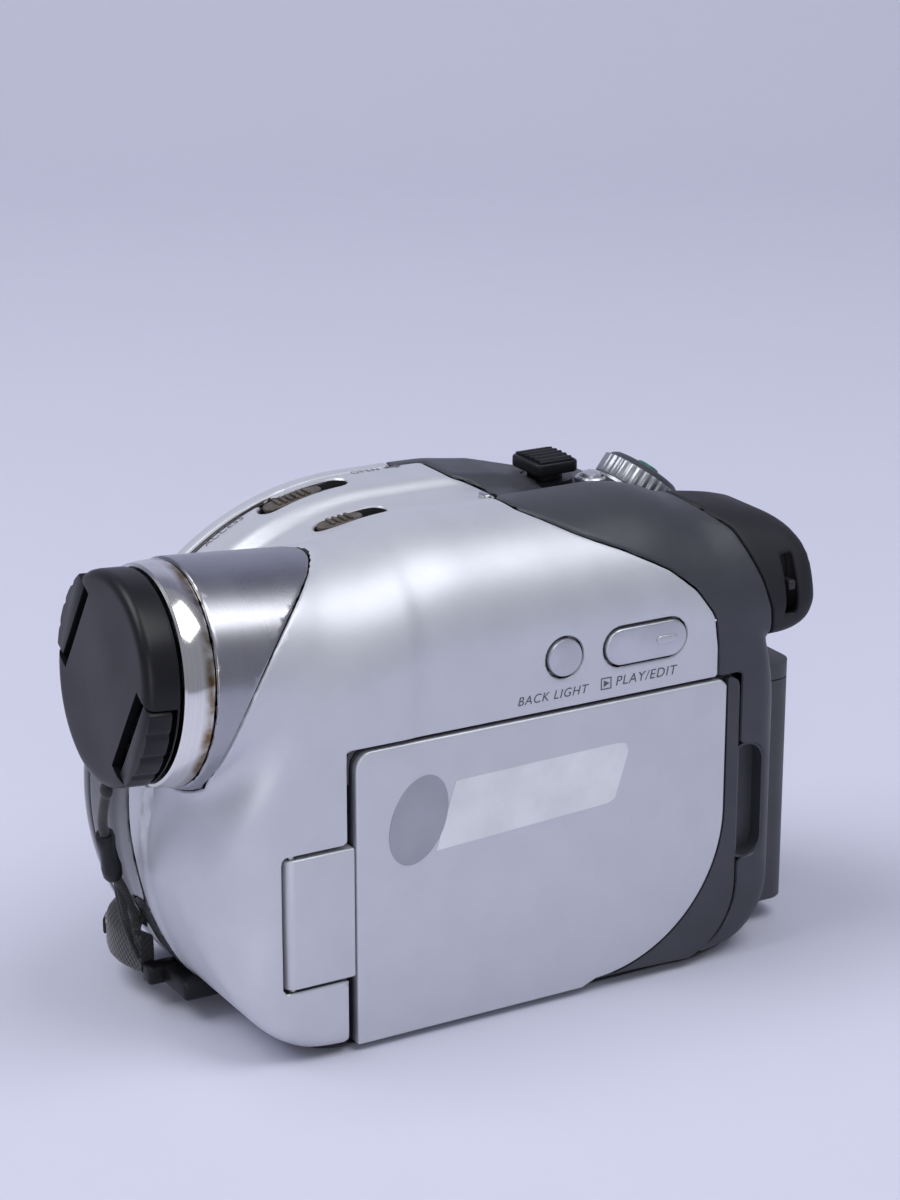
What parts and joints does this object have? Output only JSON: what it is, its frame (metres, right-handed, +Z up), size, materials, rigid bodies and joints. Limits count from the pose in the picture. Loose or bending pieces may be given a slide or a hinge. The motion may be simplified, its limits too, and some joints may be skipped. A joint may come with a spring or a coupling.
{
  "type": "camcorder",
  "caption": "Hand-held disc camcorder with swing-out screen, disc lid, eyepiece, hand strap, lens cap on a cord, slide-on battery and working controls.",
  "frame": {"origin": "mouth of the tripod socket, in the plane of the flat base", "axes": "+Z up from the base; -Y the way the lens looks; +X the side with the screen; -X the disc side"},
  "size_m": [0.069, 0.1366, 0.0891],
  "materials": {
    "silver_shell": "silver paint, satin",
    "grey_shell": "dark grey, satin",
    "deck_plate": "dark grey, fine grain",
    "black_shell": "black, fine grain",
    "black_gloss": "polished black",
    "lamp": "smoked lens",
    "bright_sleeve": "silver, brushed look",
    "ring_chrome": "polished",
    "steel": "plain",
    "bright_key": "bright plated",
    "green_key": "green",
    "switch_brown": "dark brown grey",
    "soft_rubber": "matt",
    "tube_black": "black, flat",
    "optic": "coated",
    "battery_grey": "dark grey",
    "webbing": "woven, padded",
    "cord_black": "thin cord",
    "board_green": "solder mask"
  },
  "bodies": {
    "casing": {"left_casing": "silver_shell", "rear_cover": "grey_shell", "disc_deck": "deck_plate", "base_cover": "black_shell", "front_panel": "black_gloss", "mic_grille": "black_shell", "barrel_sleeve": "bright_sleeve", "lens_ring": "ring_chrome", "main_frame": "steel", "inner_panel": "deck_plate", "strap_lug": "black_shell", "access_lamp": "lamp", "cap_cord": "cord_black", "cord_tab": "black_shell", "hinge_pin": "steel", "viewfinder_tube": "tube_black", "eyecup": "soft_rubber", "viewfinder_optics": "optic", "battery_terminal": "black_shell", "jack_block": "black_shell", "lid_pin": "steel", "grip_belt": "webbing", "tripod_bush": "steel", "circuit_boards": "board_green", "lens_tube": "tube_black", "glass_group": "optic", "guide_rods": "steel", "image_sensor": "board_green", "spindle_motor": "steel", "case_screws": "steel"},
    "lens_cap": {"lens_cap": "black_shell", "cap_springs": "steel"},
    "clip_left": {"cap_clip_left": "black_shell"},
    "clip_right": {"cap_clip_right": "black_shell"},
    "screen": {"screen_cover": "silver_shell", "screen_bezel": "grey_shell", "lcd_module": "deck_plate", "screen_glass": "optic", "hinge_block": "silver_shell", "swivel_shaft": "steel"},
    "backlight_key": {"backlight_button": "bright_key"},
    "play_key": {"play_button": "bright_key"},
    "zoom_rocker": {"zoom_lever": "black_shell"},
    "photo_key": {"photo_button": "bright_key"},
    "dial": {"mode_dial": "grey_shell"},
    "dial_key": {"dial_lock": "green_key"},
    "record_key": {"record_button": "bright_key"},
    "open_switch": {"open_slider": "switch_brown"},
    "night_mode_switch": {"night_switch": "switch_brown"},
    "diopter": {"diopter_lever": "tube_black"},
    "battery": {"battery_pack": "battery_grey"},
    "battery_catch": {"battery_release": "black_shell"},
    "jack_flap_body": {"jack_cover": "black_shell"},
    "lid": {"disc_lid": "silver_shell"},
    "spindle": {"turntable": "tube_black"},
    "sled": {"pickup_sled": "tube_black"},
    "sled_leadscrew": {"sled_screw": "steel"},
    "zoom_group": {"zoom_carriage": "tube_black"},
    "zoom_leadscrew": {"zoom_screw": "steel"},
    "focus_group": {"focus_carriage": "tube_black"}
  },
  "joints": [
    {"name": "cap_pull", "type": "slide", "parent": "casing", "child": "lens_cap", "axis": [0, -0.9966, 0.0819], "range_m": [0, 0.025]},
    {"name": "clip_left_pinch", "type": "slide", "parent": "lens_cap", "child": "clip_left", "axis": [-0.8829, 0.0385, 0.4679], "range_m": [0, 0.0015], "stiffness_N_per_m": 400},
    {"name": "clip_right_pinch", "type": "slide", "parent": "lens_cap", "child": "clip_right", "axis": [0.8829, -0.0385, -0.4679], "range_m": [0, 0.0015], "stiffness_N_per_m": 400},
    {"name": "screen_open", "type": "hinge", "parent": "casing", "child": "screen", "pos_m": [0.0258, -0.0419, 0.0263], "axis": [0, 0, -1], "range_deg": [0, 90]},
    {"name": "backlight_press", "type": "slide", "parent": "casing", "child": "backlight_key", "axis": [-1, 0, 0], "range_m": [0, 0.0006], "stiffness_N_per_m": 800},
    {"name": "play_press", "type": "slide", "parent": "casing", "child": "play_key", "axis": [-1, 0, 0], "range_m": [0, 0.0006], "stiffness_N_per_m": 800},
    {"name": "zoom_rock", "type": "hinge", "parent": "casing", "child": "zoom_rocker", "pos_m": [-0.015, 0.033, 0.084], "axis": [0, 0, 1], "range_deg": [-12, 12], "stiffness_Nm_per_rad": 0.05},
    {"name": "photo_press", "type": "slide", "parent": "casing", "child": "photo_key", "axis": [0, 0, -1], "range_m": [0, 0.0006], "stiffness_N_per_m": 800},
    {"name": "dial_turn", "type": "hinge", "parent": "casing", "child": "dial", "pos_m": [-0.013, 0.0515, 0.0795], "axis": [0, 0.6157, 0.788], "range_deg": [-60, 60]},
    {"name": "dial_lock_press", "type": "slide", "parent": "dial", "child": "dial_key", "axis": [0, -0.6157, -0.788], "range_m": [0, 0.0008], "stiffness_N_per_m": 600},
    {"name": "record_press", "type": "slide", "parent": "casing", "child": "record_key", "axis": [0, -1, 0], "range_m": [0, 0.0006], "stiffness_N_per_m": 800},
    {"name": "open_slide", "type": "slide", "parent": "casing", "child": "open_switch", "axis": [0, 0.9781, 0.2079], "range_m": [0, 0.003], "stiffness_N_per_m": 300},
    {"name": "night_slide", "type": "slide", "parent": "casing", "child": "night_mode_switch", "axis": [0, 1, 0], "range_m": [0, 0.003]},
    {"name": "diopter_turn", "type": "hinge", "parent": "casing", "child": "diopter", "pos_m": [0.012, 0.0602, 0.0705], "axis": [0, 1, 0], "range_deg": [-15, 15]},
    {"name": "battery_slide", "type": "slide", "parent": "casing", "child": "battery", "axis": [0, 0, -1], "range_m": [0, 0.05]},
    {"name": "release_slide", "type": "slide", "parent": "casing", "child": "battery_catch", "axis": [-1, 0, 0], "range_m": [0, 0.0011], "stiffness_N_per_m": 300},
    {"name": "jack_flap", "type": "hinge", "parent": "casing", "child": "jack_flap_body", "pos_m": [-0.02085, 0.0582, 0.0254], "axis": [1, 0, 0], "range_deg": [0, 90]},
    {"name": "lid_open", "type": "hinge", "parent": "casing", "child": "lid", "pos_m": [-0.025, -0.004, 0.0028], "axis": [0, -1, 0], "range_deg": [0, 45], "deforming": ["grip_belt"]},
    {"name": "spindle_spin", "type": "hinge", "parent": "casing", "child": "spindle", "pos_m": [-0.02, -0.0059, 0.0445], "axis": [1, 0, 0], "continuous": true},
    {"name": "sled_slide", "type": "slide", "parent": "casing", "child": "sled", "axis": [0, 1, 0], "range_m": [0, 0.017]},
    {"name": "sled_screw_turn", "type": "hinge", "parent": "casing", "child": "sled_leadscrew", "pos_m": [-0.015, 0.02, 0.0365], "axis": [0, 1, 0], "range_deg": [-10, 2100]},
    {"name": "zoom_slide", "type": "slide", "parent": "casing", "child": "zoom_group", "axis": [0, 0.9966, -0.0819], "range_m": [0, 0.016]},
    {"name": "zoom_screw_turn", "type": "hinge", "parent": "casing", "child": "zoom_leadscrew", "pos_m": [0.0073, -0.03834, 0.05777], "axis": [0, 0.9966, -0.0819], "range_deg": [-10, 2000]},
    {"name": "focus_slide", "type": "slide", "parent": "casing", "child": "focus_group", "axis": [0, 0.9966, -0.0819], "range_m": [0, 0.006]}
  ],
  "couplings": [
    {"joint": "sled_screw_turn", "follows": "sled_slide", "rad_per_m": 2094.4},
    {"joint": "zoom_screw_turn", "follows": "zoom_slide", "rad_per_m": 2094.4}
  ]
}
